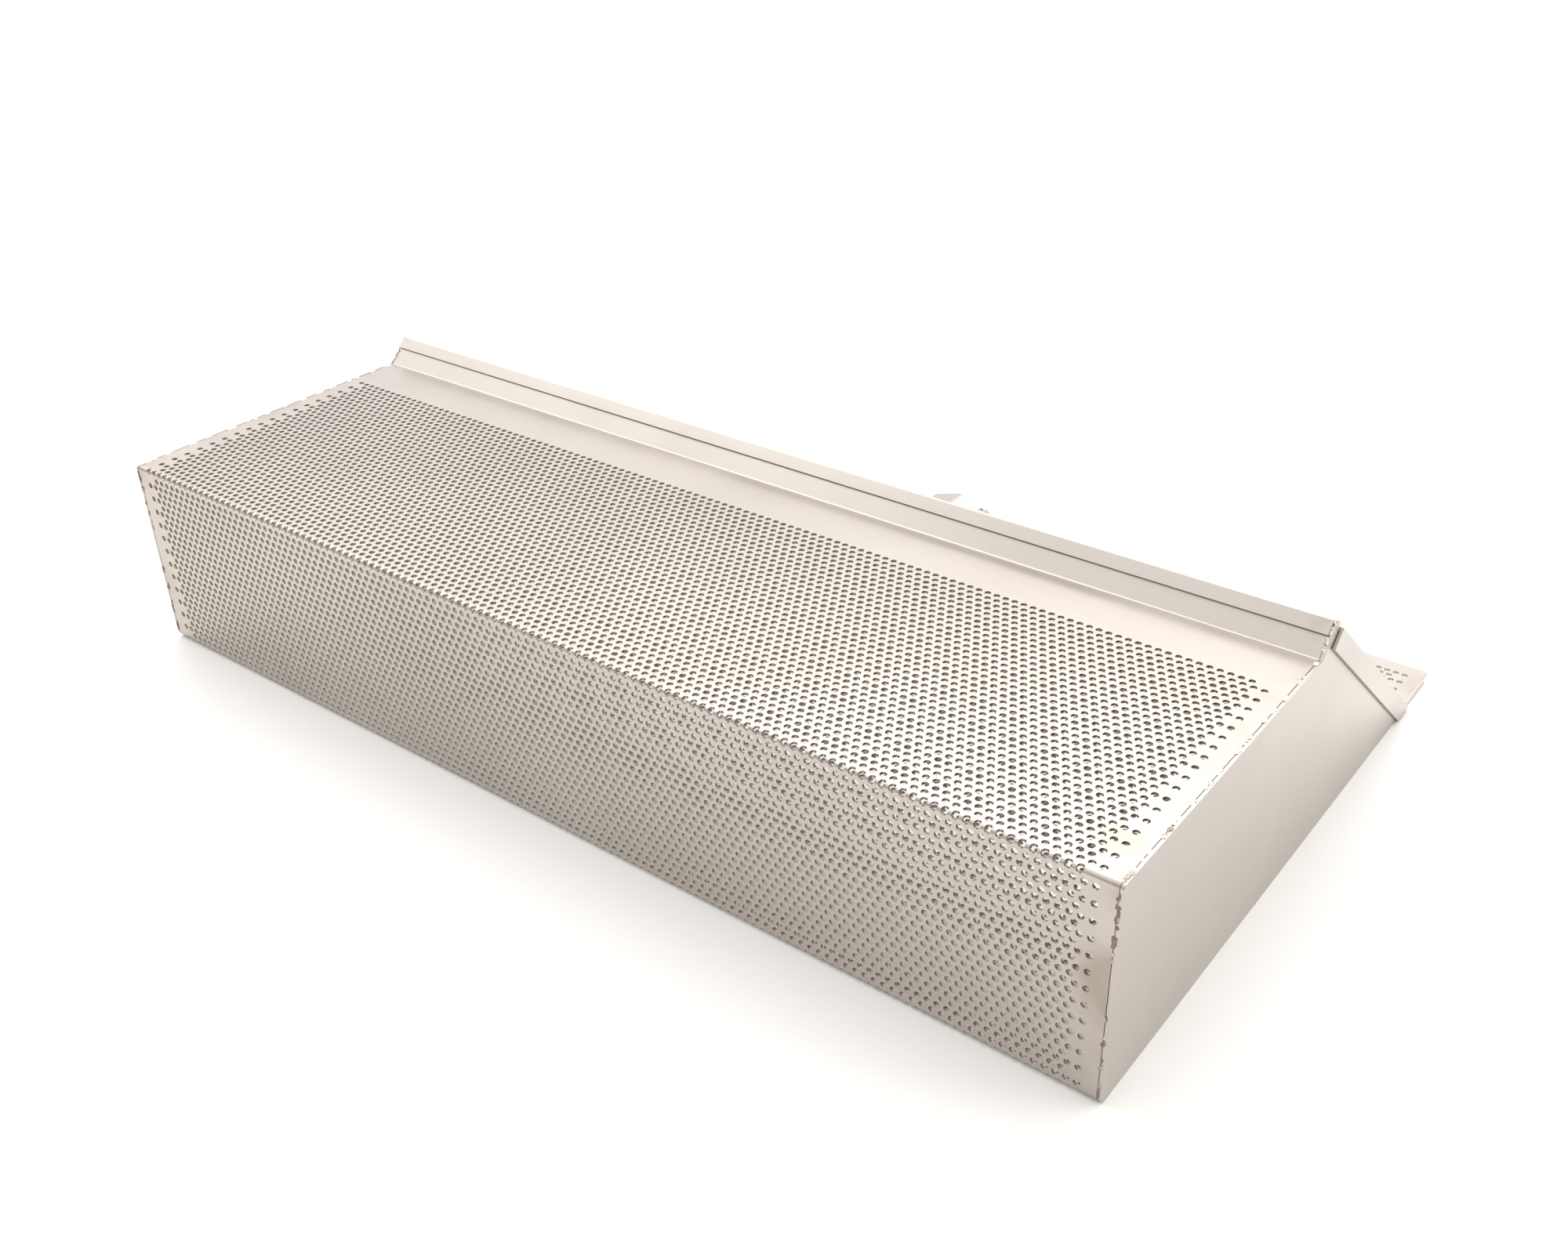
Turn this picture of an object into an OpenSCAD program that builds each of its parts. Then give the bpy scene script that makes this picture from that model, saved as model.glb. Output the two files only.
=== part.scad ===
// Strainer box: a perforated stainless sheet wrapped round the bottom, front and top,
// closed by two plain end plates, open on its sloping rear face, with a lift handle
// on the lip behind. Origin under the middle of the base, front towards -Y, Z up.

/* [Box] */
// Length of the box over its two end plates
box_w = 600; // [300:1:900]
// Height of the box from its underside to its flat top
box_h = 110; // [60:1:200]
// Depth of the flat top, from the front face to the crease of the rear flange
top_d = 181; // [100:1:320]
// Slope of the open rear edge of the end plates, from horizontal
rear_a = 40; // [30:1:60]
// Depth of the base lip behind the foot of the end plates
lip_d = 35; // [28:1:80]

/* [Perforated wrap] */
// Thickness of the perforated sheet
sheet_t = 1.2; // [0.9:0.1:2]
// Inside radius of the bend between the top and the front
top_bend_r = 1.2; // [0.8:0.1:5]
// Inside radius of the bend between the front and the base
base_bend_r = 3.6; // [1:0.1:8]
// Inside radius of the crease between the top and the rear flange
crease_r = 1.5; // [0.8:0.1:4]

/* [Rear flange] */
// Width of the rear flange, along its slope
flange_w = 19; // [14:0.5:40]
// Angle of the rear flange above the flat top
flange_a = 45; // [20:1:60]
// Width of the hem folded forward along the flange's top edge
hem_w = 8; // [5:0.5:12]
// Gap left inside the folded hem
hem_gap = 0.3; // [0.1:0.1:1]

/* [End plates] */
// Thickness of the end plates
plate_t = 1.5; // [1:0.1:3]
// Width of the flap folded outwards along the sloping rear edge
flap_w = 12; // [8:0.5:20]
// Gap left inside the folded flap
flap_gap = 0.2; // [0.1:0.1:1]
// Distance from the flange's face to the top end of the flap
flap_setback = 4.5; // [2:0.5:10]
// Relief left between the top end of the flap's fold and the plate's corner
fold_relief = 0.6; // [0.3:0.1:2]
// Length of the low toe of the end plate behind its sloping edge
toe_l = 25; // [5:1:27]
// Height of the low toe above the underside
toe_h = 2.2; // [1.6:0.1:5]

/* [Lift handle] */
// Thickness of the handle strip
handle_t = 1.5; // [1:0.1:3]
// Width of the handle strip, front to rear
handle_w = 20; // [10:0.5:27]
// Length of each foot of the handle
foot_l = 9; // [6:0.5:20]
// Straight length of each leg of the handle
leg_l = 22; // [10:0.5:50]
// Angle of the legs from the base
leg_a = 45; // [30:1:80]
// Straight length of each half of the handle's crown
crown_l = 16; // [8:0.5:40]
// Slope of each half of the crown
crown_a = 17; // [5:1:25]
// Inside radius of the bends at the feet and shoulders of the handle
handle_r = 2; // [1:0.5:6]
// Inside radius of the bend at the top of the crown
crown_r = 9; // [2:0.5:30]
// Distance from the handle's rear edge to the lip's rear edge
handle_inset = 1; // [0:0.5:8]
// Length of the narrow slot across the strip at its right shoulder
slot_l = 15; // [5:0.5:17]
// Width of that slot
slot_w = 2.2; // [1:0.1:4]

/* [Welds] */
// Half the width of a seam bead
bead_r = 1.4; // [0.8:0.1:2.5]
// Height of a seam bead above the sheet
bead_h = 0.5; // [0.3:0.1:1]
// Length of one stitch of seam weld
stitch_l = 7; // [4:0.5:15]
// Distance from one stitch to the next
stitch_pitch = 16; // [10:0.5:40]
// Leg of the fillet stitches inside the base corners
fillet_leg = 2; // [1:0.1:3]
// Distance from a seam's ends to its first and last stitches
seam_inset = 7; // [5:0.5:20]

/* [Hidden] */
$fn = 48;

steel = [0.80, 0.77, 0.74];
bead_steel = [0.66, 0.60, 0.55];

// Box, measured from the front face in Y and from the underside in Z
wrap_w = box_w - 2 * plate_t;
seam_x = wrap_w / 2;
flange_tip = [top_d + flange_w * cos(flange_a), box_h + flange_w * sin(flange_a)];
heel_y = flange_tip.x + flange_tip.y / tan(rear_a);
box_d = heel_y + lip_d;
front_y = -box_d / 2;

// Outer radii of the wrap's bends
top_out_r = top_bend_r + sheet_t;
base_out_r = base_bend_r + sheet_t;
// Length that the crease takes from the flat on each side of it
crease_run = crease_r * tan(flange_a / 2);
hem_out_r = hem_gap / 2 + sheet_t;

// Fold of the end plate's flap
fold_out_r = plate_t + flap_gap / 2;
flap_x = box_w / 2 + flap_gap;
fold_lap = 1;
slope_l = flange_tip.y / sin(rear_a);
// How far the plate's blank runs past the floor before it is trimmed
trim = 20;

// Handle, measured from its middle
handle_out_r = handle_r + handle_t;
shoulder_x = crown_r * sin(crown_a) + crown_l * cos(crown_a);
handle_half = shoulder_x + handle_r * (sin(leg_a) - sin(crown_a)) + leg_l * cos(leg_a)
              + handle_out_r * sin(leg_a) + foot_l;
handle_y = box_d - handle_inset - handle_w;

// ---- Bent strip: an outline worked out from its flats and its bends ----

// Left-hand normal of heading h
function normal(h) = [-sin(h), cos(h)];

// One side of a strip of thickness t that starts along +X. side is 0 for the base line and
// 1 for the line t to its left. A move is [length] for a flat and [inside radius, angle]
// for a bend, with a positive angle to the left.
function strip_side(moves, t, side, p = [0, 0], h = 0, i = 0) =
    i == len(moves) ? [p + side * t * normal(h)] :
    len(moves[i]) == 1 ?
        concat([p + side * t * normal(h)],
               strip_side(moves, t, side, p + moves[i][0] * [cos(h), sin(h)], h, i + 1)) :
    let (r = moves[i][0],
         a = moves[i][1],
         base_r = a > 0 ? r + t : -r,
         side_r = a > 0 ? r + t - side * t : -r - side * t,
         c = p + base_r * normal(h),
         steps = ceil(abs(a) / 9))
        concat([for (j = [0:steps - 1]) c - side_r * normal(h + a * j / steps)],
               strip_side(moves, t, side, c - base_r * normal(h + a), h + a, i + 1));

module strip(moves, t) {
    left = strip_side(moves, t, 1);
    polygon(concat(strip_side(moves, t, 0), [for (i = [len(left) - 1:-1:0]) left[i]]));
}

// A section drawn in front-to-rear distance and height, run along the length
module along_length(x0, x1) {
    translate([x0, front_y, 0])
        rotate([90, 0, 90]) linear_extrude(x1 - x0) children();
}

// ---- Perforated wrap: base, front, top, rear flange and its hem, one sheet ----

module wrap_section() {
    translate([box_d, 0]) mirror([1, 0]) strip([
        [box_d - base_out_r],
        [base_bend_r, 90],
        [box_h - base_out_r - top_out_r],
        [top_bend_r, 90],
        [top_d - top_out_r - crease_run],
        [crease_r, -flange_a],
        [flange_w - crease_run - hem_out_r],
        [hem_gap / 2, -180],
        [hem_w - hem_out_r]], sheet_t);
}

module wrap_sheet() {
    color(steel) along_length(-seam_x, seam_x) wrap_section();
}

// ---- End plates: plain, with a flap folded out along the sloping rear edge ----

// The plate is drawn on its sloping edge: X down the slope from the flange's tip, Y inwards
// from the edge, and Z from the flap's outer face towards the box.
function on_slope(p) =
    let (d = p - flange_tip)
        [d.x * cos(rear_a) - d.y * sin(rear_a), -d.x * sin(rear_a) - d.y * cos(rear_a)];
// How far down the slope a line b in from the edge comes down to height z
function slope_run(b, z) = (flange_tip.y - b * cos(rear_a) - z) / sin(rear_a);
// How far down the slope the same line meets the flap's top end
function flap_top(b) = (flap_setback - b * cos(rear_a + flange_a)) / sin(rear_a + flange_a);
function arc(c, r, a0, a1, n = 8) =
    [for (i = [0:n]) let (a = a0 + (a1 - a0) * i / n) c + r * [cos(a), sin(a)]];

// Outline of the plate, run on below the floor, where it is trimmed with its flap
module plate_outline() {
    outer = concat(
        arc([top_out_r, box_h - top_out_r], top_out_r, 90, 180),
        arc([base_out_r, base_out_r], base_out_r, 180, 270),
        [[base_out_r, -trim], [heel_y + toe_l, -trim], [heel_y + toe_l, toe_h]]);
    polygon(concat(
        [for (p = outer) on_slope(p)],
        [[slope_run(fold_out_r, toe_h), fold_out_r],
         [flap_top(fold_out_r), fold_out_r],
         [flap_top(0), 0],
         [0, 0],
         on_slope([top_d, box_h])]));
}

module flap_outline() {
    polygon([[flap_top(fold_out_r), fold_out_r],
             [flap_top(flap_w), flap_w],
             [slope_l + trim, flap_w],
             [slope_l + trim, fold_out_r]]);
}

// Half-round fold that joins the plate to its flap, and reaches fold_lap into both
module flap_fold() {
    top = flap_top(fold_out_r) + fold_relief;
    translate([top, fold_out_r + fold_lap, 0]) rotate([90, 0, 90])
        linear_extrude(slope_l + trim - top) mirror([1, 0])
            strip([[fold_lap], [flap_gap / 2, 180], [fold_lap]], plate_t);
}

module floor_trim() {
    low = [for (p = [[0, 0], [2 * box_d, 0], [2 * box_d, -box_h], [0, -box_h]]) on_slope(p)];
    translate([0, 0, -trim]) linear_extrude(2 * trim + 3 * plate_t) polygon(low);
}

module end_plate() {
    translate([flap_x + plate_t, front_y + flange_tip.x, flange_tip.y])
        rotate([270 - rear_a, 0, 0]) rotate([0, -90, 0])
            difference() {
                union() {
                    translate([0, 0, plate_t + flap_gap]) linear_extrude(plate_t) plate_outline();
                    linear_extrude(plate_t) flap_outline();
                    flap_fold();
                }
                floor_trim();
            }
}

module end_plate_right() { color(steel) end_plate(); }

module end_plate_left() { color(steel) mirror([1, 0, 0]) end_plate(); }

// ---- Lift handle: a bent strip standing across the lip on two feet ----

module handle_section() {
    translate([-handle_half, 0]) strip([
        [foot_l],
        [handle_r, leg_a],
        [leg_l],
        [handle_r, crown_a - leg_a],
        [crown_l],
        [crown_r, -2 * crown_a],
        [crown_l],
        [handle_r, crown_a - leg_a],
        [leg_l],
        [handle_r, leg_a],
        [foot_l]], handle_t);
}

module lift_handle() {
    color(steel) translate([0, front_y + handle_y, sheet_t]) difference() {
        translate([0, handle_w, 0]) rotate([90, 0, 0]) linear_extrude(handle_w) handle_section();
        translate([shoulder_x - slot_w, (handle_w - slot_l) / 2, 0])
            cube([slot_w, slot_l, handle_half]);
    }
}

// ---- Welds ----

// Low round-backed bead of length l along +X, standing on the XY plane
module bead(l) {
    back_r = (bead_r * bead_r + bead_h * bead_h) / (2 * bead_h);
    translate([-l / 2, 0, 0]) rotate([90, 0, 90]) linear_extrude(l)
        intersection() {
            translate([0, bead_h - back_r]) circle(back_r, $fn = 96);
            translate([-bead_r, 0]) square([2 * bead_r, bead_h]);
        }
}

// Stitches of seam weld spread evenly along a seam of length l that starts at the origin
module stitches(l) {
    clear = l - 2 * seam_inset - stitch_l;
    count = max(1, floor(clear / stitch_pitch));
    for (i = [0:count])
        translate([seam_inset + stitch_l / 2 + clear * i / count, 0, 0]) children();
}

module top_seam_weld_right() {
    color(bead_steel) translate([seam_x, front_y, box_h]) rotate([0, 0, 90])
        stitches(top_d) bead(stitch_l);
}

module top_seam_weld_left() { mirror([1, 0, 0]) top_seam_weld_right(); }

module front_seam_weld_right() {
    color(bead_steel) translate([seam_x, front_y, 0]) rotate([90, -90, 0])
        stitches(box_h) bead(stitch_l);
}

module front_seam_weld_left() { mirror([1, 0, 0]) front_seam_weld_right(); }

// Two spots on the flange's face, below its hem
module flange_seam_weld_right() {
    spot_l = stitch_l / 2;
    plain = flange_w - hem_w - crease_run - spot_l;
    color(bead_steel) translate([seam_x, front_y + top_d, box_h])
        rotate([flange_a, 0, 0]) rotate([0, 0, 90])
            for (i = [0:1])
                translate([crease_run + spot_l / 2 + plain * (0.1 + 0.8 * i), 0, 0]) bead(spot_l);
}

module flange_seam_weld_left() { mirror([1, 0, 0]) flange_seam_weld_right(); }

// Fillets in the corner between the base and the end plate, inside the box
module base_seam_weld_right() {
    color(bead_steel) translate([seam_x, front_y + base_out_r, sheet_t]) rotate([0, 0, 90])
        stitches(heel_y - base_out_r - fold_out_r)
            translate([-stitch_l / 2, 0, 0]) rotate([90, 0, 90]) linear_extrude(stitch_l)
                polygon([[0, 0], [fillet_leg, 0], [0, fillet_leg]]);
}

module base_seam_weld_left() { mirror([1, 0, 0]) base_seam_weld_right(); }

// Fillets along the outer ends of the handle's feet
module handle_weld() {
    weld_l = handle_w / 2;
    color(bead_steel) for (side = [0:1]) mirror([side, 0, 0])
        translate([handle_half, front_y + handle_y + handle_w / 2 - weld_l / 2, sheet_t])
            rotate([90, 0, 180]) mirror([1, 0, 0]) linear_extrude(weld_l)
                polygon([[0, 0], [handle_t, 0], [0, handle_t]]);
}

wrap_sheet();
end_plate_left();
end_plate_right();
lift_handle();
top_seam_weld_left();
top_seam_weld_right();
front_seam_weld_left();
front_seam_weld_right();
flange_seam_weld_left();
flange_seam_weld_right();
base_seam_weld_left();
base_seam_weld_right();
handle_weld();
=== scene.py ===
import math
import random

import bpy
import numpy as np
from mathutils import Matrix, Vector


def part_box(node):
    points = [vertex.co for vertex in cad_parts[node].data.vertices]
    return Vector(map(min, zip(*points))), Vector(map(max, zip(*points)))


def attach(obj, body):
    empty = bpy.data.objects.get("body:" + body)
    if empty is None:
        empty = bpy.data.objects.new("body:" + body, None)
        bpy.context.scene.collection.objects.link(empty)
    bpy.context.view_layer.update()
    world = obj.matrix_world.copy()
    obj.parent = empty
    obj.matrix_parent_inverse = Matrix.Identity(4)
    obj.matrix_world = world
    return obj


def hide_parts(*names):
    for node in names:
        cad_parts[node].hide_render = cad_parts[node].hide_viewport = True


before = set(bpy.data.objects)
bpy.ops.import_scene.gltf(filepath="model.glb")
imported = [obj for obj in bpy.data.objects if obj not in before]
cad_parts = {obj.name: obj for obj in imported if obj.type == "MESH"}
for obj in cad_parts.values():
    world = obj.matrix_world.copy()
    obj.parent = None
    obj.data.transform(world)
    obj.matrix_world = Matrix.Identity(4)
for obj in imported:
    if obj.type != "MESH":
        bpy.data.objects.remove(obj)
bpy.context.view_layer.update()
bpy.ops.object.select_all(action="DESELECT")

# ---- Camera ----
# Stands off the right front corner and above it, at about the height of a person who
# looks down at the box on a table.
bpy.ops.object.camera_add(
    location=(0.4756, -0.5976, 0.4798),
    rotation=(math.radians(58.85), math.radians(1.35), math.radians(37.58)))
camera = bpy.context.object
camera.name = "camera"
camera.data.lens = 36.7
camera.data.clip_start = 0.01
bpy.context.scene.camera = camera

# ---- Floor and lights ----
# A pale matt table in a white room, with a wide soft box behind the object and others at the
# left, at the right and overhead. A narrow strip draws the bright line along the flange's crease.
bpy.ops.mesh.primitive_plane_add(size=40)
floor = bpy.context.object
floor.name = "floor"
floor_paint = bpy.data.materials.new("white_table")
floor_paint.use_nodes = True
floor_shader = floor_paint.node_tree.nodes["Principled BSDF"]
floor_shader.inputs["Base Color"].default_value = (0.96, 0.95, 0.93, 1)
floor_shader.inputs["Roughness"].default_value = 0.9
floor_shader.inputs["Specular IOR Level"].default_value = 0.2
floor.data.materials.append(floor_paint)


def soft_box(name, place, width, height, power):
    """A soft box that faces the middle of the table. Its power is in watts."""
    bpy.ops.object.light_add(type="AREA", location=place)
    light = bpy.context.object
    light.name = name
    light.rotation_euler = Vector(place).to_track_quat("Z", "Y").to_euler()
    light.data.shape = "RECTANGLE"
    light.data.size = width
    light.data.size_y = height
    light.data.energy = power


soft_box("back_box", (-1.5, 2.2, 1.4), 6.6, 3.0, 33)
soft_box("high_back_box", (-0.9, 1.3, 2.1), 3.6, 1.8, 24)
soft_box("left_box", (-2.4, -0.6, 1.7), 2.0, 2.0, 13)
soft_box("right_box", (2.0, 1.4, 1.3), 2.0, 2.0, 21)
soft_box("overhead_box", (-0.1, -0.1, 2.5), 4.5, 5.0, 46)
soft_box("overhead_strip", (-0.6, 0.45, 2.4), 3.6, 0.3, 9)

world = bpy.data.worlds.new("studio")
world.use_nodes = True
world.node_tree.nodes["Background"].inputs["Color"].default_value = (1.0, 0.99, 0.97, 1)
world.node_tree.nodes["Background"].inputs["Strength"].default_value = 0.72
bpy.context.scene.world = world
bpy.context.scene.view_settings.view_transform = "Standard"

# ---- Perforated wrap ----
# One stainless sheet, punched with staggered 1/8 in holes on 3/16 in centres, and bent on a
# press brake: base, front, top, and a rear flange whose edge is folded over in a flat hem.
# The punched field is made in strips that meet between two rows of holes.
MM = 0.001
sheet_t = 1.2 * MM
hole_d = 3.175 * MM
hole_sides = 12
pitch = 4.7625 * MM
row_count = 152
strip_rows = 22
# Rows that the pattern has at each side, past the strip's own
spare_rows = 2
# Outermost hole at the two ends of a row, which change over from one row to the next
field_long = 60.75 * pitch
field_short = 59.25 * pitch
# First and last rows, along the blank from the lip's rear edge
first_row = 10.25 * MM
last_row = 630.1 * MM
row_step = (last_row - first_row) / (row_count - 1)

# Gap left open between the stitches, along the end plates
seam_gap = 0.35 * MM

wrap_low, wrap_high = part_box("wrap_sheet")
seam_x = wrap_high.x
front_y = wrap_low.y
rear_y = wrap_high.y
top_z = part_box("top_seam_weld_right")[0].z

# Inside radii of the bends, and sizes of the flats
base_r = 3.6 * MM
top_r = 1.2 * MM
top_d = 181 * MM
crease_r = 1.5 * MM
flange_w = 19 * MM
flange_a = math.radians(45)
hem_gap = 0.3 * MM
hem_w = 8 * MM
crease_run = crease_r * math.tan(flange_a / 2)
hem_out_r = hem_gap / 2 + sheet_t
hem_edge = 0.12 * MM
# Depth of the line that a bend neither stretches nor squeezes, as a share of the thickness
neutral_share = 0.4

# Flats as (length,) and bends as (inside radius, angle), from the lip's rear edge forwards
wrap_moves = [
    (rear_y - front_y - base_r - sheet_t,),
    (base_r, math.radians(90)),
    (top_z - base_r - top_r - 2 * sheet_t,),
    (top_r, math.radians(90)),
    (top_d - top_r - sheet_t - crease_run,),
    (crease_r, -flange_a),
    (flange_w - crease_run - hem_out_r,),
    (hem_gap / 2, math.radians(-180)),
    (hem_w - hem_out_r,),
]


def neutral_length(move, thickness):
    """Length of a flat, or of a bend along the neutral line inside its sheet."""
    if len(move) == 1:
        return move[0]
    return abs(move[1]) * (move[0] + neutral_share * thickness)


def bend_lines(moves, thickness, step=math.radians(15)):
    """Distances along the blank at which a bend needs an edge."""
    lines = []
    start = 0
    for move in moves:
        length = neutral_length(move, thickness)
        if len(move) == 2:
            count = math.ceil(abs(move[1]) / step)
            lines += [start + length * i / count for i in range(count + 1)]
        start += length
    return lines


def bent(run, rise, moves, thickness):
    """Where points of a flat blank lie once it is bent. run is along the neutral line and
    rise above the lower face. A positive bend turns upwards."""
    across = np.zeros_like(run)
    up = np.zeros_like(run)
    here = np.zeros(2)
    heading = 0
    start = 0
    rounding = 1e-9
    for move in moves:
        length = neutral_length(move, thickness)
        on = run >= start - rounding
        t = run[on] - start
        if len(move) == 1:
            ahead = np.array([math.cos(heading), math.sin(heading)])
            left = np.array([-ahead[1], ahead[0]])
            across[on] = here[0] + t * ahead[0] + rise[on] * left[0]
            up[on] = here[1] + t * ahead[1] + rise[on] * left[1]
            here = here + length * ahead
        else:
            radius, angle = move
            arm = radius + thickness if angle > 0 else -radius
            centre = here + arm * np.array([-math.sin(heading), math.cos(heading)])
            turned = heading + np.sign(angle) * t / (radius + neutral_share * thickness)
            across[on] = centre[0] + (arm - rise[on]) * np.sin(turned)
            up[on] = centre[1] - (arm - rise[on]) * np.cos(turned)
            heading += angle
            here = centre - arm * np.array([-math.sin(heading), math.cos(heading)])
        start += length
    return across, up


def points(piece):
    """The piece's vertices as an array."""
    co = np.empty(len(piece.data.vertices) * 3)
    piece.data.vertices.foreach_get("co", co)
    return co.reshape(-1, 3)


def move_points(piece, co):
    """Moves the piece's vertices to these places."""
    piece.data.vertices.foreach_set("co", co.ravel())
    piece.data.update()


def edit(piece):
    """Puts one piece into edit mode, with all of it selected."""
    bpy.ops.object.select_all(action="DESELECT")
    bpy.context.view_layer.objects.active = piece
    piece.select_set(True)
    bpy.ops.object.mode_set(mode="EDIT")
    bpy.ops.mesh.select_mode(type="VERT")
    bpy.ops.mesh.select_all(action="SELECT")


def leave_edit():
    bpy.ops.object.mode_set(mode="OBJECT")


def select_points(piece, wanted):
    """In edit mode, selects only the vertices that wanted(coordinates) marks."""
    bpy.ops.mesh.select_mode(type="VERT")
    bpy.ops.mesh.select_all(action="DESELECT")
    bpy.ops.object.mode_set(mode="OBJECT")
    piece.data.vertices.foreach_set("select", wanted(points(piece)))
    bpy.ops.object.mode_set(mode="EDIT")


def cut(point, direction, clear_beyond=False):
    """Cuts the selected faces along a plane, and clears what is beyond it."""
    bpy.ops.mesh.bisect(plane_co=point, plane_no=direction, clear_outer=clear_beyond,
                        threshold=1e-7)


def apply_modifiers(piece):
    bpy.ops.object.select_all(action="DESELECT")
    bpy.context.view_layer.objects.active = piece
    piece.select_set(True)
    for modifier in list(piece.modifiers):
        bpy.ops.object.modifier_apply(modifier=modifier.name)


def thicken(piece, thickness):
    """Gives a flat blank its thickness, on the side that its faces point to."""
    wall = piece.modifiers.new("wall", "SOLIDIFY")
    wall.thickness = thickness
    wall.offset = 1
    apply_modifiers(piece)


def round_edges(piece, width):
    """Breaks the sheared edges, which catch the light."""
    edges = piece.modifiers.new("edges", "BEVEL")
    edges.width = width
    edges.segments = 2
    edges.limit_method = "ANGLE"
    edges.angle_limit = math.radians(50)
    apply_modifiers(piece)


def smooth(piece, angle=40):
    bpy.ops.object.select_all(action="DESELECT")
    bpy.context.view_layer.objects.active = piece
    piece.select_set(True)
    bpy.ops.object.shade_smooth_by_angle(angle=math.radians(angle))


def smooth_sheet(piece):
    """Smooths the bends, and keeps the large faces beside them flat."""
    smooth(piece)
    normals = piece.modifiers.new("normals", "WEIGHTED_NORMAL")
    normals.keep_sharp = True
    apply_modifiers(piece)


def own(piece, name, slot, *nodes):
    """Names a finished piece, and says what it rides on and stands for. The slot, what it is made
    of, is not used.
    """
    piece.name = name
    piece.data.name = name
    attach(piece, "root")
    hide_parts(*nodes)


def own_copy(piece):
    """A copy with a mesh of its own."""
    copy = piece.copy()
    copy.data = piece.data.copy()
    bpy.context.collection.objects.link(copy)
    return copy


def array(piece, count, step):
    copies = piece.modifiers.new("copies", "ARRAY")
    copies.count = count
    copies.use_relative_offset = False
    copies.use_constant_offset = True
    copies.constant_offset_displace = step


def hole_cell(x):
    """One hexagon of sheet round one hole."""
    bpy.ops.mesh.primitive_circle_add(vertices=6, radius=pitch / math.sqrt(3),
                                      fill_type="NOTHING", location=(x, 0, 0))
    edge = bpy.context.object
    bpy.ops.mesh.primitive_circle_add(vertices=hole_sides, radius=hole_d / 2,
                                      fill_type="NOTHING", location=(x, 0, 0))
    cell = bpy.context.object
    edge.select_set(True)
    bpy.ops.object.join()
    bpy.ops.object.transform_apply()
    edit(cell)
    bpy.ops.mesh.bridge_edge_loops()
    leave_edit()
    if cell.data.polygons[0].normal.z < 0:
        cell.data.flip_normals()
    return cell


def punched_pattern():
    """A flat strip of holes, longer and wider than the strip that is cut from it. Its first
    row is at Y = 0, and the rows step forwards."""
    exact_step = pitch * math.sqrt(3) / 2
    spare_cells = 4
    pattern = hole_cell(-field_short - spare_cells * pitch)
    array(pattern, round(2 * field_long / pitch) + 1 + spare_cells, (pitch, 0, 0))
    array(pattern, 2, (-pitch / 2, -exact_step, 0))
    array(pattern, strip_rows // 2 + spare_rows, (0, -2 * exact_step, 0))
    apply_modifiers(pattern)
    edit(pattern)
    bpy.ops.mesh.remove_doubles(threshold=0.02 * MM)
    leave_edit()
    pattern.data.transform(Matrix.Scale(row_step / exact_step, 4, (0, 1, 0)))
    return pattern


def unpunched(co):
    """Marks the vertices of the cells that lie outside the punched field."""
    row = np.round((rear_y - first_row - co[:, 1]) / row_step)
    odd = row % 2 == 1
    left = -np.where(odd, field_long, field_short) - pitch / 2
    right = np.where(odd, field_short, field_long) + pitch / 2
    return (co[:, 0] < left) | (co[:, 0] > right) | (row < 0) | (row >= row_count)


def row_line(row):
    """Y of the line halfway between a row of the flat blank and the row before it."""
    return rear_y - first_row - (row - 0.5) * row_step


def press(piece):
    """Cuts the flat blank where it bends, gives it its thickness and bends it."""
    edit(piece)
    margin = 0.01 * MM
    low = points(piece)[:, 1].min() + margin
    high = points(piece)[:, 1].max() - margin
    for run in bend_lines(wrap_moves, sheet_t):
        if low < rear_y - run < high:
            bpy.ops.mesh.select_all(action="SELECT")
            cut((0, rear_y - run, 0), (0, 1, 0))
    leave_edit()
    thicken(piece, sheet_t)
    co = points(piece)
    across, up = bent(rear_y - co[:, 1], co[:, 2], wrap_moves, sheet_t)
    co[:, 1] = rear_y - across
    co[:, 2] = up
    move_points(piece, co)


def shader_nodes(name):
    """A new material with its node tree, its shader and its Object coordinates."""
    material = bpy.data.materials.new(name)
    material.use_nodes = True
    tree = material.node_tree
    place = tree.nodes.new("ShaderNodeTexCoord").outputs["Object"]
    return material, tree, tree.nodes["Principled BSDF"], place


def noise(tree, place, scale, detail=3, stretch=(1, 1, 1)):
    """Cloudy noise with scale features to the metre."""
    mapping = tree.nodes.new("ShaderNodeMapping")
    mapping.inputs["Scale"].default_value = stretch
    tree.links.new(place, mapping.inputs["Vector"])
    texture = tree.nodes.new("ShaderNodeTexNoise")
    texture.inputs["Scale"].default_value = scale
    texture.inputs["Detail"].default_value = detail
    tree.links.new(mapping.outputs["Vector"], texture.inputs["Vector"])
    return texture.outputs["Fac"]


def spread(tree, value, low, high, to_low=0.0, to_high=1.0):
    """Stretches a value's range from low..high to another."""
    change = tree.nodes.new("ShaderNodeMapRange")
    tree.links.new(value, change.inputs["Value"])
    change.inputs["From Min"].default_value = low
    change.inputs["From Max"].default_value = high
    change.inputs["To Min"].default_value = to_low
    change.inputs["To Max"].default_value = to_high
    return change.outputs["Result"]


def maths(tree, operation, first, second=None):
    step = tree.nodes.new("ShaderNodeMath")
    step.operation = operation
    for socket, value in zip(step.inputs, (first, second)):
        if isinstance(value, (int, float)):
            socket.default_value = value
        elif value is not None:
            tree.links.new(value, socket)
    return step.outputs["Value"]


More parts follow.
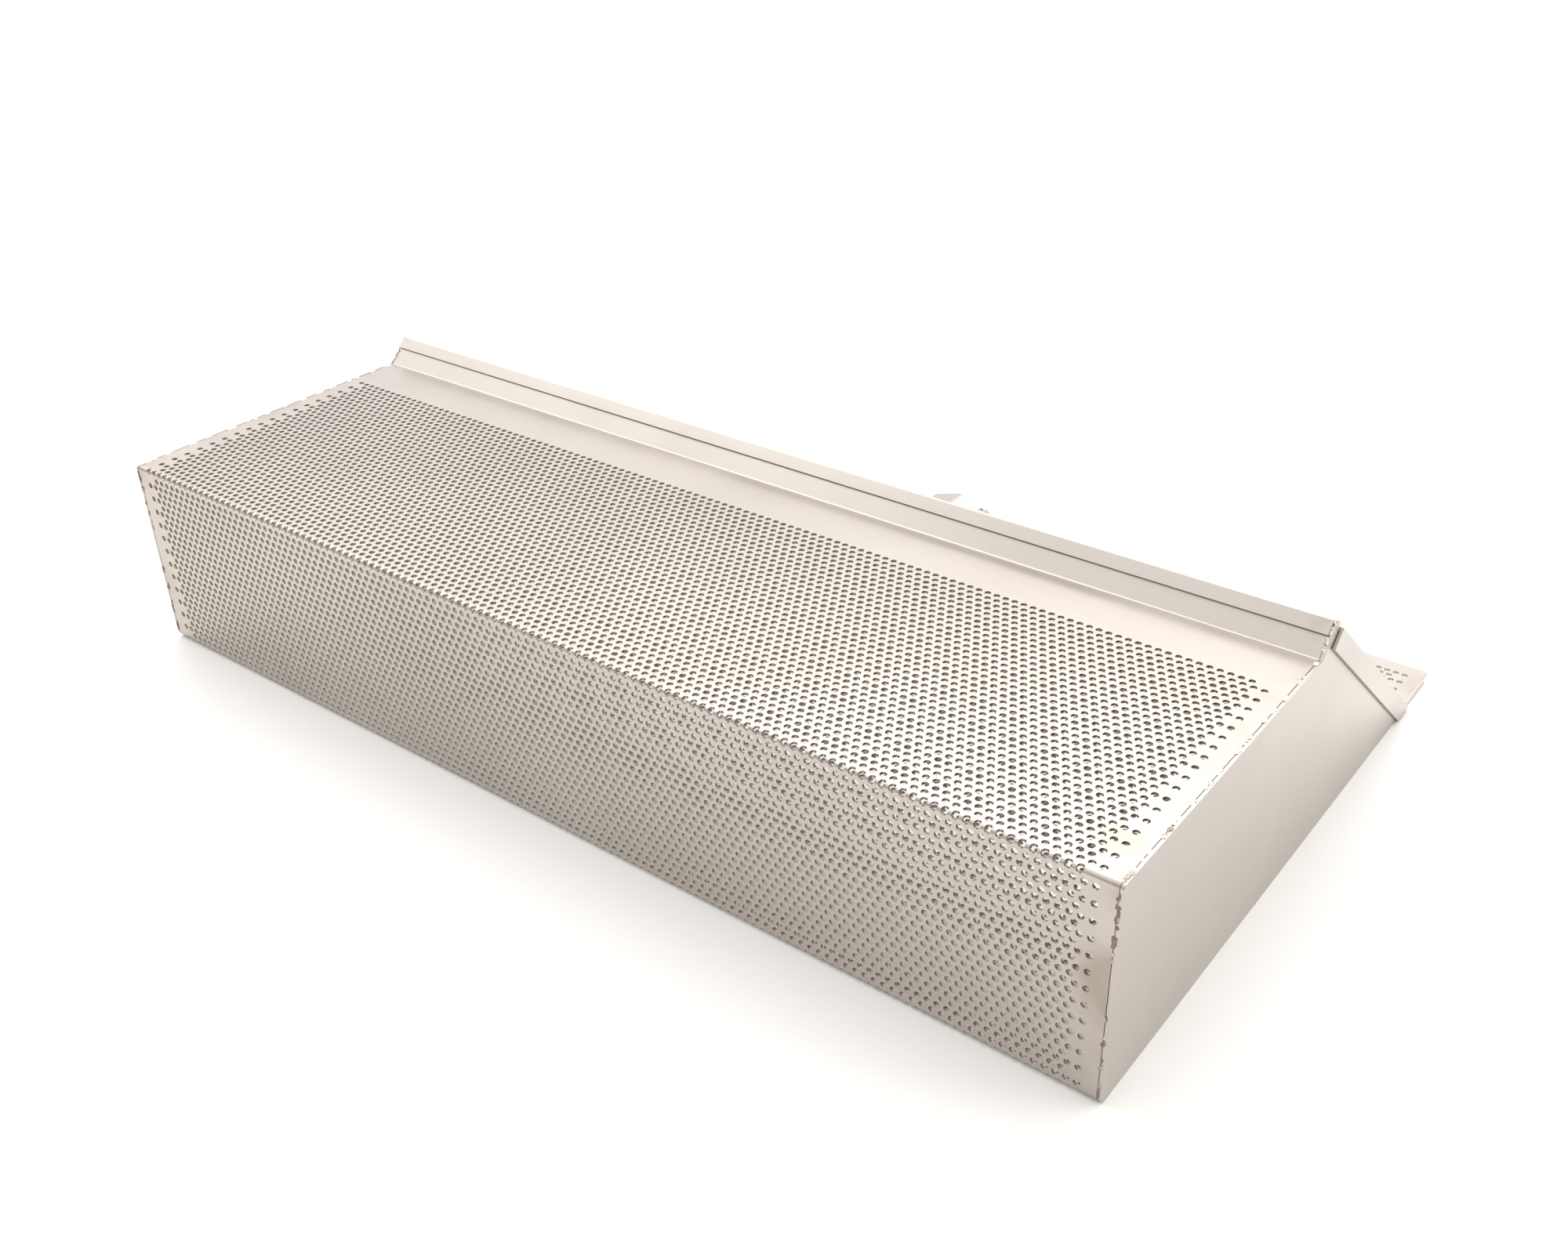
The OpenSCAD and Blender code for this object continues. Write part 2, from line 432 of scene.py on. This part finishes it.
def blend_colours(tree, factor, first, second):
    """Mixes two colours, each a colour or another node's output."""
    mix = tree.nodes.new("ShaderNodeMix")
    mix.data_type = "RGBA"
    tree.links.new(factor, mix.inputs["Factor"])
    for socket, colour in ((mix.inputs["A"], first), (mix.inputs["B"], second)):
        if isinstance(colour, tuple):
            socket.default_value = (*colour, 1)
        else:
            tree.links.new(colour, socket)
    return mix.outputs["Result"]


def bumps(tree, *layers):
    """A chain of bump nodes, each (height, depth in metres)."""
    normal = None
    for height, depth in layers:
        bump = tree.nodes.new("ShaderNodeBump")
        bump.inputs["Distance"].default_value = depth
        tree.links.new(height, bump.inputs["Height"])
        if normal is not None:
            tree.links.new(normal, bump.inputs["Normal"])
        normal = bump.outputs["Normal"]
    return normal


def halo(tree, place, middle, reach):
    """1 at the middle of a heat mark, falling to 0 at its ragged rim. reach is its half size
    along X, Y and Z."""
    offset = tree.nodes.new("ShaderNodeVectorMath")
    offset.operation = "SUBTRACT"
    tree.links.new(place, offset.inputs[0])
    offset.inputs[1].default_value = middle
    scaled = tree.nodes.new("ShaderNodeVectorMath")
    scaled.operation = "DIVIDE"
    tree.links.new(offset.outputs["Vector"], scaled.inputs[0])
    scaled.inputs[1].default_value = reach
    length = tree.nodes.new("ShaderNodeVectorMath")
    length.operation = "LENGTH"
    tree.links.new(scaled.outputs["Vector"], length.inputs[0])
    ragged = spread(tree, noise(tree, place, 60), 0.3, 0.7, -0.25, 0.25)
    core = 0.45
    rim = 1.15
    return spread(tree, maths(tree, "ADD", length.outputs["Value"], ragged), rim, core)


def add_heat_marks(tree, place, steel):
    """Browns the steel's colour: faintly in patches beside the seams, and at a spot on the
    front and one on the top near the right corner."""
    band_w = 12.5 * MM
    axes = tree.nodes.new("ShaderNodeSeparateXYZ")
    tree.links.new(place, axes.inputs["Vector"])
    from_middle = maths(tree, "ABSOLUTE", axes.outputs["X"])
    near_seam = spread(tree, from_middle, seam_x - band_w, seam_x)
    patchy = spread(tree, noise(tree, place, 45), 0.42, 0.62)
    tint = maths(tree, "MULTIPLY", maths(tree, "MULTIPLY", near_seam, patchy), 0.4)
    colour = blend_colours(tree, tint, steel, (0.36, 0.29, 0.24))
    front_spot = (seam_x, front_y, 62 * MM)
    top_spot = (seam_x - 12 * MM, front_y + 22 * MM, top_z)
    for middle, reach, depth in ((front_spot, (15 * MM, 3 * MM, 22 * MM), 0.6),
                                 (top_spot, (20 * MM, 8 * MM, 3 * MM), 0.25)):
        mark = maths(tree, "MULTIPLY", halo(tree, place, middle, reach), depth)
        colour = blend_colours(tree, mark, colour, (0.32, 0.265, 0.22))
    return colour


def steel_sheet(name, heated=False):
    """Cold-rolled stainless with a dull mill finish, faint clouds and rolling grain. The
    sheet that was heated by the welds has its heat marks too."""
    material, tree, shader, place = shader_nodes(name)
    clouds = spread(tree, noise(tree, place, 9, 4), 0.35, 0.65)
    colour = blend_colours(tree, clouds, (0.490, 0.447, 0.408), (0.515, 0.475, 0.437))
    if heated:
        colour = add_heat_marks(tree, place, colour)
    tree.links.new(colour, shader.inputs["Base Color"])
    shader.inputs["Metallic"].default_value = 1
    tree.links.new(spread(tree, noise(tree, place, 14, 4), 0.3, 0.7, 0.28, 0.38),
                   shader.inputs["Roughness"])
    waves = noise(tree, place, 7, 1)
    grain = noise(tree, place, 900, 2, (0.05, 1, 1))
    tree.links.new(bumps(tree, (waves, 0.15 * MM), (grain, 0.006 * MM)), shader.inputs["Normal"])
    return material


sheet_steel = steel_sheet("sheet_steel", heated=True)
cut_x = seam_x - seam_gap
pattern = punched_pattern()
for number, start in enumerate(range(0, row_count, strip_rows)):
    end = min(start + strip_rows, row_count)
    strip = own_copy(pattern)
    first_y = rear_y - first_row - (start - spare_rows) * row_step
    strip.data.transform(Matrix.Translation((0, first_y, 0)))
    edit(strip)
    select_points(strip, unpunched)
    bpy.ops.mesh.fill_holes(sides=hole_sides)
    rear_line = rear_y if start == 0 else row_line(start)
    for point, direction in (((cut_x, 0, 0), (1, 0, 0)), ((-cut_x, 0, 0), (-1, 0, 0)),
                             ((0, rear_line, 0), (0, 1, 0)),
                             ((0, row_line(end), 0), (0, -1, 0))):
        bpy.ops.mesh.select_all(action="SELECT")
        cut(point, direction, clear_beyond=True)
    leave_edit()
    press(strip)
    strip.data.materials.append(sheet_steel)
    smooth(strip)
    own(strip, f"punched_strip_{number + 1}", "perforated_sheet", "wrap_sheet")
bpy.data.objects.remove(pattern)


def flat_blank(low, high, z=0):
    """A plain rectangular blank between two corners, each (x, y)."""
    bpy.ops.object.select_all(action="DESELECT")
    bpy.ops.mesh.primitive_plane_add(size=1)
    blank = bpy.context.object
    blank.scale = (high[0] - low[0], high[1] - low[1], 1)
    blank.location = ((low[0] + high[0]) / 2, (low[1] + high[1]) / 2, z)
    bpy.ops.object.transform_apply()
    return blank


# The plain rear margin of the top, with the crease, the flange and its hem
blank_l = sum(neutral_length(move, sheet_t) for move in wrap_moves)
flange = flat_blank((-cut_x, rear_y - blank_l), (cut_x, row_line(row_count)))
press(flange)
flange.data.materials.append(sheet_steel)
round_edges(flange, hem_edge)
smooth_sheet(flange)
own(flange, "rear_flange", "perforated_sheet", "wrap_sheet")

# ---- End plates ----
# Plain stainless sheet, sheared to the box's side profile and welded over the wrap's cut
# edges. The sloping rear edge is stiffened with a flap that is folded flat against the
# outside, and a low toe runs on under the lip.
plate_t = 1.5 * MM
flap_w = 12 * MM
flap_gap = 0.2 * MM
flap_setback = 4.5 * MM
fold_relief = 0.6 * MM
flap_foot_z = 0.6 * MM
toe_h = 2.2 * MM
rear_a = math.radians(40)
fold_out_r = plate_t + flap_gap / 2
plate_edge = 0.15 * MM
near = MM / 10

toe_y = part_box("end_plate_right")[1].y
tip = Vector((seam_x, front_y + top_d + flange_w * math.cos(flange_a),
              top_z + flange_w * math.sin(flange_a)))
down_slope = Vector((0, math.cos(rear_a), -math.sin(rear_a)))
into_plate = Vector((0, -math.sin(rear_a), -math.cos(rear_a)))
behind_flange = Vector((0, math.sin(flange_a), -math.cos(flange_a)))


def select_where(piece, wanted):
    """In edit mode, selects only the faces for which wanted(centre, normal) is true."""
    bpy.ops.mesh.select_mode(type="FACE")
    bpy.ops.mesh.select_all(action="DESELECT")
    bpy.ops.object.mode_set(mode="OBJECT")
    chosen = [bool(wanted(face.center, face.normal)) for face in piece.data.polygons]
    piece.data.polygons.foreach_set("select", chosen)
    bpy.ops.object.mode_set(mode="EDIT")


def trim(piece, wanted, point, direction):
    """Cuts only the wanted faces along a plane, and deletes what is beyond it."""
    select_where(piece, lambda at, facing: wanted(at))
    cut(point, direction)
    select_where(piece, lambda at, facing: wanted(at) and (at - point).dot(direction) > 0)
    bpy.ops.mesh.delete(type="FACE")


def round_corner(piece, y, z, radius):
    """Rounds the corner of a flat blank at (y, z)."""
    select_points(piece, lambda co: abs(co[:, 1] - y) + abs(co[:, 2] - z) < near)
    bpy.ops.mesh.bevel(offset=radius, segments=6, affect="VERTICES")


def plate_blank():
    """The plate's flat outline, cut out of a rectangle."""
    bpy.ops.object.select_all(action="DESELECT")
    bpy.ops.mesh.primitive_plane_add(size=1, rotation=(0, math.pi / 2, 0))
    blank = bpy.context.object
    blank.scale = (tip.z, toe_y - front_y, 1)
    blank.location = (seam_x, (toe_y + front_y) / 2, tip.z / 2)
    bpy.ops.object.transform_apply()
    setback = tip + flap_setback * behind_flange
    edit(blank)
    # The rear edge slopes above the toe
    cut((0, 0, toe_h), (0, 0, 1))
    trim(blank, lambda at: at.z > toe_h, tip, -into_plate)
    # Past the setback it steps in, to leave room for the fold
    select_where(blank, lambda at, facing: at.z > toe_h)
    cut(setback, behind_flange)
    trim(blank, lambda at: at.z > toe_h and (at - setback).dot(behind_flange) > 0,
         tip + fold_out_r * into_plate, -into_plate)
    # What stands above the top is cut off along the flange
    select_where(blank, lambda at, facing: at.z > toe_h)
    cut((0, 0, top_z), (0, 0, 1))
    trim(blank, lambda at: at.z > top_z, tip, -behind_flange)
    bpy.ops.mesh.select_all(action="SELECT")
    bpy.ops.mesh.dissolve_limited(angle_limit=math.radians(0.1))
    round_corner(blank, front_y, top_z, top_r + sheet_t)
    round_corner(blank, front_y, 0, base_r + sheet_t)
    leave_edit()
    return blank


def fold_flap(plate):
    """Draws the flap out of the plate's sloping edge face and folds it back outside."""
    edge_line = tip + fold_out_r * into_plate
    fold_top = tip + flap_setback * behind_flange + fold_relief * down_slope

    def on_edge(at, facing):
        faces_out = facing.dot(into_plate) < -0.9
        return faces_out and (at - edge_line).dot(into_plate) > -near and at.z > toe_h

    edit(plate)
    select_where(plate, on_edge)
    cut(fold_top, down_slope)
    select_where(plate, lambda at, facing: on_edge(at, facing)
                 and (at - fold_top).dot(down_slope) > 0)
    fold_axis = edge_line + Vector((plate_t + flap_gap / 2, 0, 0))
    bpy.ops.mesh.spin(steps=8, angle=math.pi, center=fold_axis, axis=down_slope)
    bpy.ops.mesh.extrude_region_move(
        TRANSFORM_OT_translate={"value": (flap_w - fold_out_r) * into_plate})
    leave_edit()
    # The flap's two ends are trimmed along the flange and along the floor
    co = points(plate)
    depth = (co - np.array(tip)) @ np.array(into_plate)
    along = (co - np.array(tip)) @ np.array(down_slope)
    free = (co[:, 0] > seam_x + plate_t + flap_gap / 2) & (depth > flap_w - near)
    upper = free & (along < along[free].mean())
    lower = free & ~upper
    slant = (flap_w - fold_out_r) / math.tan(rear_a + flange_a)
    co[upper] -= slant * np.array(down_slope)
    rise = (flap_foot_z - co[lower, 2]) / -down_slope.z
    co[lower] -= rise[:, None] * np.array(down_slope)
    move_points(plate, co)


def tidy_shell(piece):
    """Merges doubled points and turns every face outwards."""
    edit(piece)
    bpy.ops.mesh.remove_doubles(threshold=0.01 * MM)
    bpy.ops.mesh.normals_make_consistent(inside=False)
    leave_edit()


right_plate = plate_blank()
thicken(right_plate, plate_t)
fold_flap(right_plate)
tidy_shell(right_plate)
left_plate = own_copy(right_plate)
left_plate.data.transform(Matrix.Scale(-1, 4, (1, 0, 0)))
tidy_shell(left_plate)
plate_steel = steel_sheet("plate_steel")
for plate, side in ((right_plate, "right"), (left_plate, "left")):
    round_edges(plate, plate_edge)
    plate.data.materials.append(plate_steel)
    smooth_sheet(plate)
    own(plate, f"{side}_end_plate", "end_plate", f"end_plate_{side}")

# ---- Lift handle ----
# A strip of stainless bent into a low crowned bridge, which stands on two feet in the middle
# of the lip and is pulled up with a finger. A narrow slot is cut across its right shoulder.
handle_t = 1.5 * MM
foot_l = 9 * MM
leg_l = 22 * MM
leg_a = math.radians(45)
crown_l = 16 * MM
crown_a = math.radians(17)
handle_r = 2 * MM
crown_r = 9 * MM
handle_edge = 0.2 * MM
slot_l = 15 * MM
slot_w = 2.2 * MM
handle_low, handle_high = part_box("lift_handle")
shoulder = (handle_r, crown_a - leg_a)
handle_moves = [(foot_l,), (handle_r, leg_a), (leg_l,), shoulder, (crown_l,),
                (crown_r, -2 * crown_a),
                (crown_l,), shoulder, (leg_l,), (handle_r, leg_a), (foot_l,)]
handle_blank_l = sum(neutral_length(move, handle_t) for move in handle_moves)
to_right_shoulder = handle_moves[:7]
shoulder_run = sum(neutral_length(move, handle_t) for move in to_right_shoulder)

handle = flat_blank((handle_low.x, handle_low.y),
                    (handle_low.x + handle_blank_l, handle_high.y), handle_low.z)
edit(handle)
for run in bend_lines(handle_moves, handle_t, math.radians(9)):
    bpy.ops.mesh.select_all(action="SELECT")
    cut((handle_low.x + run, 0, 0), (1, 0, 0))
slot_x = handle_low.x + shoulder_run - slot_w / 2
slot_y = (handle_low.y + handle_high.y) / 2
for side in (-1, 1):
    bpy.ops.mesh.select_all(action="SELECT")
    cut((slot_x + side * slot_w / 2, 0, 0), (1, 0, 0))
    select_where(handle, lambda at, facing: abs(at.x - slot_x) < slot_w)
    cut((0, slot_y + side * slot_l / 2, 0), (0, 1, 0))
select_where(handle, lambda at, facing: abs(at.x - slot_x) < slot_w / 2
             and abs(at.y - slot_y) < slot_l / 2)
bpy.ops.mesh.delete(type="FACE")
leave_edit()
thicken(handle, handle_t)
co = points(handle)
across, up = bent(co[:, 0] - handle_low.x, co[:, 2] - handle_low.z, handle_moves, handle_t)
co[:, 0] = handle_low.x + across
co[:, 2] = handle_low.z + up
move_points(handle, co)
tidy_shell(handle)
round_edges(handle, handle_edge)
handle.data.materials.append(plate_steel)
smooth_sheet(handle)
own(handle, "bent_handle", "handle", "lift_handle")

# ---- Welds ----
# Short stitches of gas-shielded weld without filler, uneven and a little proud: along the
# seams between the wrap and the end plates, in the corners of the base, and at the
# handle's feet.
bead_h = 0.5 * MM
stitch_reach = 3.2 * MM
stitch_wander = 0.4 * MM
lump_reach = (0.7 * MM, 1.9 * MM)
# Half widths of the widest lumps, and the height of those that lie in an inside corner
seam_lump = 1.1 * MM
flange_lump = 1 * MM
base_lump = 1.3 * MM
foot_lump = 1.2 * MM
corner_h = 1 * MM
# Where the stitches start and end along each seam
top_start = 3 * MM
front_end = 5 * MM
flange_start = 1.5 * MM
flange_end = 17 * MM
base_start = 8 * MM
base_end = 45 * MM
base_inset = 0.3 * MM
random.seed(7)


def weld_steel(name, clean, scorched):
    """Rippled weld metal, bright below the clean level of a noise and dark brown above the
    scorched level."""
    material, tree, shader, place = shader_nodes(name)
    burnt = spread(tree, noise(tree, place, 90, 4), clean, scorched)
    colour = blend_colours(tree, burnt, (0.84, 0.80, 0.76), (0.24, 0.19, 0.17))
    tree.links.new(colour, shader.inputs["Base Color"])
    shader.inputs["Metallic"].default_value = 1
    tree.links.new(spread(tree, burnt, 0, 1, 0.22, 0.5), shader.inputs["Roughness"])
    ripples = noise(tree, place, 1500, 2)
    tree.links.new(bumps(tree, (ripples, 0.12 * MM)), shader.inputs["Normal"])
    return material


def lump(place, size, seed):
    """One squashed and dented drop of weld, half sunk in the seam."""
    bpy.ops.mesh.primitive_uv_sphere_add(segments=10, ring_count=6, radius=1)
    drop = bpy.context.object
    drop.scale = size
    tilt, turn = 0.2, 0.3
    drop.rotation_euler = (random.uniform(-tilt, tilt), random.uniform(-tilt, tilt),
                           random.uniform(-turn, turn))
    bpy.ops.object.transform_apply()
    drop.data.transform(Matrix.Translation(place))
    edit(drop)
    bpy.ops.transform.vertex_random(offset=min(size) / 4, seed=seed)
    leave_edit()
    return drop


def weld_run(name, node, metal, start, end, places, across, height=bead_h):
    """Stitches of two to four lumps, each stitch at its share of the way from start to end.
    across is the greatest half width of a lump along X."""
    start, end = Vector(start), Vector(end)
    direction = (end - start).normalized()
    lumps = []
    for share in places:
        for _ in range(random.randint(2, 4)):
            place = start.lerp(end, share)
            place += direction * random.uniform(-stitch_reach, stitch_reach)
            place.x += random.uniform(-stitch_wander, stitch_wander)
            size = Vector((across, height, height)) * random.uniform(0.5, 1)
            size[1 if abs(direction.y) > abs(direction.z) else 2] = random.uniform(*lump_reach)
            lumps.append(lump(place, size, random.randint(1, 999)))
    bpy.ops.object.select_all(action="DESELECT")
    for piece in lumps:
        piece.select_set(True)
    bpy.context.view_layer.objects.active = lumps[0]
    bpy.ops.object.join()
    run = bpy.context.object
    # No lump stands out past the object's own size
    co = points(run)
    co[:, 1] = np.maximum(co[:, 1], front_y - bead_h)
    move_points(run, co)
    run.data.materials.append(metal)
    smooth(run, 60)
    own(run, name, "weld", node)


def evenly(count):
    """Shares of the way for stitches about evenly spread."""
    return [(number + 0.5 + random.uniform(-0.25, 0.25)) / count for number in range(count)]


clean_weld = weld_steel("clean_weld", 0.52, 0.68)
scorched_weld = weld_steel("scorched_weld", 0.36, 0.5)
along_flange = Vector((0, math.cos(flange_a), math.sin(flange_a)))
# Stitches crowd at the front corner of the top seam, and at both ends of the front seam
corner_places = [0, 0.012, 0.025, 0.04]
front_places = [0, 0.02, 0.16, 0.3, 0.38, 0.7, 0.76, 0.82, 0.87, 0.92, 0.96, 1]
for side, sign in (("right", 1), ("left", -1)):
    x = sign * seam_x
    inner_x = x - sign * base_inset
    foot = Vector((x, front_y + top_d, top_z))
    weld_run(f"top_{side}_beads", f"top_seam_weld_{side}", clean_weld,
             (x, front_y + top_start, top_z), foot, [*corner_places, *evenly(14)], seam_lump)
    weld_run(f"front_{side}_beads", f"front_seam_weld_{side}", scorched_weld,
             (x, front_y, front_end), (x, front_y, top_z - front_end), front_places, seam_lump)
    weld_run(f"flange_{side}_beads", f"flange_seam_weld_{side}", clean_weld,
             foot + flange_start * along_flange, foot + flange_end * along_flange,
             evenly(7), flange_lump)
    weld_run(f"base_{side}_beads", f"base_seam_weld_{side}", clean_weld,
             (inner_x, front_y + base_start, sheet_t), (inner_x, rear_y - base_end, sheet_t),
             evenly(18), base_lump, corner_h)
weld_low, weld_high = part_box("handle_weld")
for side, x in (("left", weld_low.x), ("right", weld_high.x)):
    weld_run(f"handle_beads_{side}", "handle_weld", clean_weld,
             (x, weld_low.y, sheet_t), (x, weld_high.y, sheet_t),
             evenly(2), foot_lump, corner_h)
